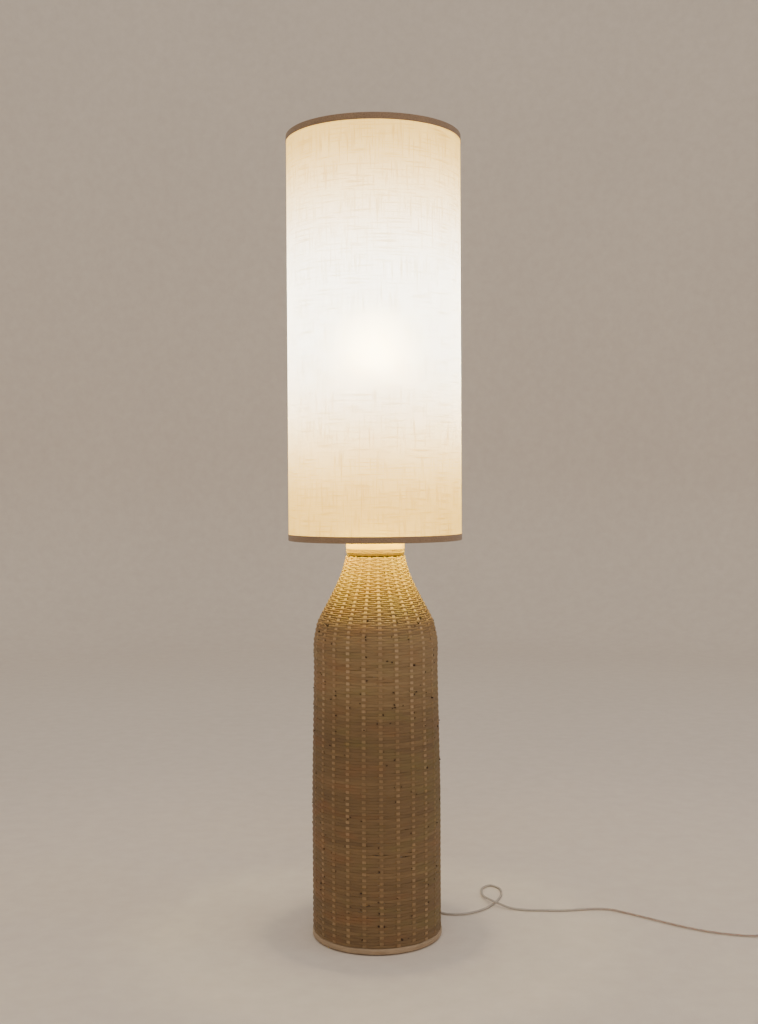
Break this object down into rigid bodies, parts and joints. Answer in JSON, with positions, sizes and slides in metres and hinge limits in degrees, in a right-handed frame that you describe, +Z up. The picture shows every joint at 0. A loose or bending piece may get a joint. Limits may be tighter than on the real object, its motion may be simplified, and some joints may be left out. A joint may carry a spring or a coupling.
{
  "type": "floor lamp",
  "caption": "Floor lamp with a bottle-shaped woven rattan base, a tall drum shade in linen, and a clear cord with an in-line switch.",
  "frame": {"origin": "on the floor at the centre of the foot, under the lamp axis", "axes": "+Z up along the lamp axis, -Y towards the front, +X to the right where the cord runs out"},
  "size_m": [0.9736, 0.3953, 1.375],
  "materials": {
    "rattan": "split rattan, plain weave over stakes",
    "cane": "smooth peeled cane",
    "binding": "dark cane binding",
    "linen": "plain woven linen",
    "tape": "woven binding tape",
    "liner": "clear stiffening sheet",
    "steel": "zinc plated",
    "dark_steel": "black lacquer",
    "brass": "plain",
    "concrete": "cast concrete",
    "board": "pressed board",
    "felt": "felt",
    "tie": "soft strap",
    "white_plastic": "moulded",
    "porcelain": "glazed",
    "black_glass": "black glass",
    "opal_glass": "opal, lit",
    "clear_cord": "clear sheath over two twisted conductors"
  },
  "bodies": {
    "base": {"base_plate": "board", "base_screw_1": "steel", "base_screw_2": "steel", "base_screw_3": "steel", "centre_contact": "brass", "coil_tie": "tie", "cord_coil": "clear_cord", "cord_free": "clear_cord", "cord_grommet": "white_plastic", "cord_lead": "clear_cord", "cord_tail": "clear_cord", "counterweight": "concrete", "felt_pad": "felt", "foot_ring": "cane", "holder_cap": "white_plastic", "holder_core": "porcelain", "holder_shell": "white_plastic", "inner_cord": "clear_cord", "lower_nut": "steel", "neck_binding": "binding", "neck_cap": "cane", "neck_collar": "cane", "neck_nut": "steel", "neck_washer": "steel", "plate_screw_1": "steel", "plate_screw_2": "steel", "plate_screw_3": "steel", "plug_body": "white_plastic", "plug_pin_1": "brass", "plug_pin_2": "brass", "screw_shell": "brass", "stem_sleeve": "brass", "switch_base": "white_plastic", "switch_cover": "white_plastic", "switch_pin": "steel", "switch_screw_1": "steel", "switch_screw_2": "steel", "threaded_tube": "steel", "tube_plate": "steel", "upper_nut": "steel", "upper_washer": "steel", "wire_frame": "dark_steel", "woven_skin": "rattan"},
    "shade": {"shade_fabric": "linen", "shade_liner": "liner", "top_wire": "steel", "top_trim": "tape", "bottom_trim": "tape", "spider_frame": "steel"},
    "clamp": {"clamp_ring": "white_plastic"},
    "bulb": {"bulb_tip": "brass", "bulb_insulator": "black_glass", "bulb_cap": "steel", "bulb_globe": "opal_glass"},
    "rocker": {"switch_rocker": "white_plastic"}
  },
  "joints": [
    {"name": "shade_turn", "type": "hinge", "parent": "base", "child": "shade", "pos_m": [0, 0, 0.9146], "axis": [0, 0, 1], "continuous": true},
    {"name": "clamp_ring_turn", "type": "hinge", "parent": "base", "child": "clamp", "pos_m": [0, 0, 0.9194], "axis": [0, 0, 1], "continuous": true},
    {"name": "bulb_turn", "type": "hinge", "parent": "base", "child": "bulb", "pos_m": [0, 0, 0.93], "axis": [0, 0, 1], "continuous": true},
    {"name": "rocker_tilt", "type": "hinge", "parent": "base", "child": "rocker", "pos_m": [0.715, -0.036, 0.013], "axis": [0, 1, 0], "range_deg": [-14, 0]}
  ]
}
